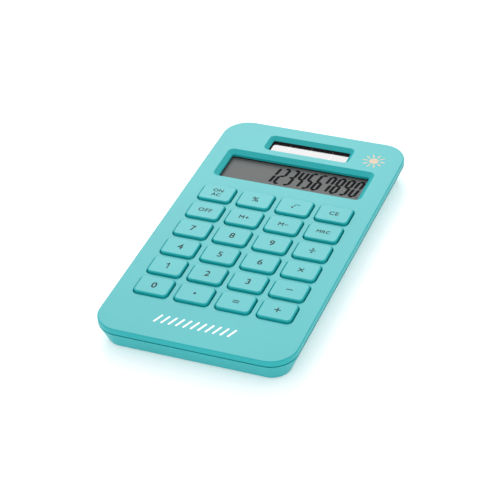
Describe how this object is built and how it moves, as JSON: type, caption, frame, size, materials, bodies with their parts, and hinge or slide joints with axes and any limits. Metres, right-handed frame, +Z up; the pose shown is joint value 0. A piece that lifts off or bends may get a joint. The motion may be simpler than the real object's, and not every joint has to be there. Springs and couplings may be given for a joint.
{
  "type": "desk calculator",
  "caption": "Slim rounded pocket and desk calculator with loose square-cornered keys in a grid, a recessed segment display, a solar window and a coin-slot battery cover.",
  "frame": {"origin": "on the table, under the middle of the case", "axes": "+X across the keys to the right, +Y along the case from the keys towards the display, +Z up out of the face"},
  "size_m": [0.07, 0.128, 0.0104],
  "materials": {
    "case_plastic": "fine satin, moulded",
    "key_plastic": "fine satin, moulded",
    "screw_steel": "plated",
    "foot_rubber": "matte",
    "silicone": "matte translucent silicone",
    "carbon": "matte carbon print",
    "board_laminate": "solder mask",
    "black_resin": "glossy resin",
    "capacitor_ceramic": "glazed ceramic",
    "resistor_black": "coated",
    "diode_glass": "clear glass over a copper-coloured die",
    "black_foam": "closed-cell foam",
    "polariser_film": "anti-glare film",
    "display_glass": "clear glass",
    "rear_film": "matte reflective film",
    "ribbon_film": "polyimide film",
    "grey_foam": "open-cell foam",
    "solar_glass": "dark glass-backed cell, glossy",
    "red_insulation": "wire insulation",
    "black_insulation": "wire insulation",
    "cell_steel": "nickel-plated steel",
    "contact_metal": "plated phosphor bronze"
  },
  "bodies": {
    "case": {"top_shell": "case_plastic", "bottom_shell": "case_plastic", "case_screws": "screw_steel", "rubber_feet": "foot_rubber", "board_screws": "screw_steel", "keypad_mat": "silicone", "keypad_domes": "silicone", "contact_pills": "carbon", "contact_pads": "carbon", "circuit_board": "board_laminate", "chip_resin_cap": "black_resin", "ceramic_capacitors": "capacitor_ceramic", "chip_resistors": "resistor_black", "clamp_diode": "diode_glass", "lcd_gasket": "black_foam", "solar_gasket": "black_foam", "lcd_front_polariser": "polariser_film", "lcd_front_glass": "display_glass", "lcd_rear_glass": "display_glass", "lcd_rear_polariser": "rear_film", "display_ribbon": "ribbon_film", "lcd_foam_pads": "grey_foam", "solar_cell": "solar_glass", "solar_lead_red": "red_insulation", "solar_lead_black": "black_insulation", "battery_cell": "cell_steel", "battery_contact_negative": "contact_metal", "battery_contact_positive": "contact_metal"},
    "key_zero": {"key_zero": "key_plastic"},
    "key_point": {"key_point": "key_plastic"},
    "key_equals": {"key_equals": "key_plastic"},
    "key_plus": {"key_plus": "key_plastic"},
    "key_one": {"key_one": "key_plastic"},
    "key_two": {"key_two": "key_plastic"},
    "key_three": {"key_three": "key_plastic"},
    "key_minus": {"key_minus": "key_plastic"},
    "key_four": {"key_four": "key_plastic"},
    "key_five": {"key_five": "key_plastic"},
    "key_six": {"key_six": "key_plastic"},
    "key_times": {"key_times": "key_plastic"},
    "key_seven": {"key_seven": "key_plastic"},
    "key_eight": {"key_eight": "key_plastic"},
    "key_nine": {"key_nine": "key_plastic"},
    "key_divide": {"key_divide": "key_plastic"},
    "key_off": {"key_off": "key_plastic"},
    "key_memory_plus": {"key_memory_plus": "key_plastic"},
    "key_memory_minus": {"key_memory_minus": "key_plastic"},
    "key_memory_recall": {"key_memory_recall": "key_plastic"},
    "key_on_clear": {"key_on_clear": "key_plastic"},
    "key_percent": {"key_percent": "key_plastic"},
    "key_square_root": {"key_square_root": "key_plastic"},
    "key_clear_entry": {"key_clear_entry": "key_plastic"},
    "battery_cover": {"battery_cover": "case_plastic"}
  },
  "joints": [
    {"name": "key_zero_press", "type": "slide", "parent": "case", "child": "key_zero", "axis": [0, 0, -1], "range_m": [0, 0.0007], "stiffness_N_per_m": 1100, "springref_m": -0.0002, "deforming": ["keypad_domes"]},
    {"name": "key_point_press", "type": "slide", "parent": "case", "child": "key_point", "axis": [0, 0, -1], "range_m": [0, 0.0007], "stiffness_N_per_m": 1100, "springref_m": -0.0002, "deforming": ["keypad_domes"]},
    {"name": "key_equals_press", "type": "slide", "parent": "case", "child": "key_equals", "axis": [0, 0, -1], "range_m": [0, 0.0007], "stiffness_N_per_m": 1100, "springref_m": -0.0002, "deforming": ["keypad_domes"]},
    {"name": "key_plus_press", "type": "slide", "parent": "case", "child": "key_plus", "axis": [0, 0, -1], "range_m": [0, 0.0007], "stiffness_N_per_m": 1100, "springref_m": -0.0002, "deforming": ["keypad_domes"]},
    {"name": "key_one_press", "type": "slide", "parent": "case", "child": "key_one", "axis": [0, 0, -1], "range_m": [0, 0.0007], "stiffness_N_per_m": 1100, "springref_m": -0.0002, "deforming": ["keypad_domes"]},
    {"name": "key_two_press", "type": "slide", "parent": "case", "child": "key_two", "axis": [0, 0, -1], "range_m": [0, 0.0007], "stiffness_N_per_m": 1100, "springref_m": -0.0002, "deforming": ["keypad_domes"]},
    {"name": "key_three_press", "type": "slide", "parent": "case", "child": "key_three", "axis": [0, 0, -1], "range_m": [0, 0.0007], "stiffness_N_per_m": 1100, "springref_m": -0.0002, "deforming": ["keypad_domes"]},
    {"name": "key_minus_press", "type": "slide", "parent": "case", "child": "key_minus", "axis": [0, 0, -1], "range_m": [0, 0.0007], "stiffness_N_per_m": 1100, "springref_m": -0.0002, "deforming": ["keypad_domes"]},
    {"name": "key_four_press", "type": "slide", "parent": "case", "child": "key_four", "axis": [0, 0, -1], "range_m": [0, 0.0007], "stiffness_N_per_m": 1100, "springref_m": -0.0002, "deforming": ["keypad_domes"]},
    {"name": "key_five_press", "type": "slide", "parent": "case", "child": "key_five", "axis": [0, 0, -1], "range_m": [0, 0.0007], "stiffness_N_per_m": 1100, "springref_m": -0.0002, "deforming": ["keypad_domes"]},
    {"name": "key_six_press", "type": "slide", "parent": "case", "child": "key_six", "axis": [0, 0, -1], "range_m": [0, 0.0007], "stiffness_N_per_m": 1100, "springref_m": -0.0002, "deforming": ["keypad_domes"]},
    {"name": "key_times_press", "type": "slide", "parent": "case", "child": "key_times", "axis": [0, 0, -1], "range_m": [0, 0.0007], "stiffness_N_per_m": 1100, "springref_m": -0.0002, "deforming": ["keypad_domes"]},
    {"name": "key_seven_press", "type": "slide", "parent": "case", "child": "key_seven", "axis": [0, 0, -1], "range_m": [0, 0.0007], "stiffness_N_per_m": 1100, "springref_m": -0.0002, "deforming": ["keypad_domes"]},
    {"name": "key_eight_press", "type": "slide", "parent": "case", "child": "key_eight", "axis": [0, 0, -1], "range_m": [0, 0.0007], "stiffness_N_per_m": 1100, "springref_m": -0.0002, "deforming": ["keypad_domes"]},
    {"name": "key_nine_press", "type": "slide", "parent": "case", "child": "key_nine", "axis": [0, 0, -1], "range_m": [0, 0.0007], "stiffness_N_per_m": 1100, "springref_m": -0.0002, "deforming": ["keypad_domes"]},
    {"name": "key_divide_press", "type": "slide", "parent": "case", "child": "key_divide", "axis": [0, 0, -1], "range_m": [0, 0.0007], "stiffness_N_per_m": 1100, "springref_m": -0.0002, "deforming": ["keypad_domes"]},
    {"name": "key_off_press", "type": "slide", "parent": "case", "child": "key_off", "axis": [0, 0, -1], "range_m": [0, 0.0007], "stiffness_N_per_m": 1100, "springref_m": -0.0002, "deforming": ["keypad_domes"]},
    {"name": "key_memory_plus_press", "type": "slide", "parent": "case", "child": "key_memory_plus", "axis": [0, 0, -1], "range_m": [0, 0.0007], "stiffness_N_per_m": 1100, "springref_m": -0.0002, "deforming": ["keypad_domes"]},
    {"name": "key_memory_minus_press", "type": "slide", "parent": "case", "child": "key_memory_minus", "axis": [0, 0, -1], "range_m": [0, 0.0007], "stiffness_N_per_m": 1100, "springref_m": -0.0002, "deforming": ["keypad_domes"]},
    {"name": "key_memory_recall_press", "type": "slide", "parent": "case", "child": "key_memory_recall", "axis": [0, 0, -1], "range_m": [0, 0.0007], "stiffness_N_per_m": 1100, "springref_m": -0.0002, "deforming": ["keypad_domes"]},
    {"name": "key_on_clear_press", "type": "slide", "parent": "case", "child": "key_on_clear", "axis": [0, 0, -1], "range_m": [0, 0.0007], "stiffness_N_per_m": 1100, "springref_m": -0.0002, "deforming": ["keypad_domes"]},
    {"name": "key_percent_press", "type": "slide", "parent": "case", "child": "key_percent", "axis": [0, 0, -1], "range_m": [0, 0.0007], "stiffness_N_per_m": 1100, "springref_m": -0.0002, "deforming": ["keypad_domes"]},
    {"name": "key_square_root_press", "type": "slide", "parent": "case", "child": "key_square_root", "axis": [0, 0, -1], "range_m": [0, 0.0007], "stiffness_N_per_m": 1100, "springref_m": -0.0002, "deforming": ["keypad_domes"]},
    {"name": "key_clear_entry_press", "type": "slide", "parent": "case", "child": "key_clear_entry", "axis": [0, 0, -1], "range_m": [0, 0.0007], "stiffness_N_per_m": 1100, "springref_m": -0.0002, "deforming": ["keypad_domes"]},
    {"name": "battery_cover_turn", "type": "hinge", "parent": "case", "child": "battery_cover", "pos_m": [0, -0.0515, 0.0012], "axis": [0, 0, -1], "range_deg": [0, 70]}
  ]
}
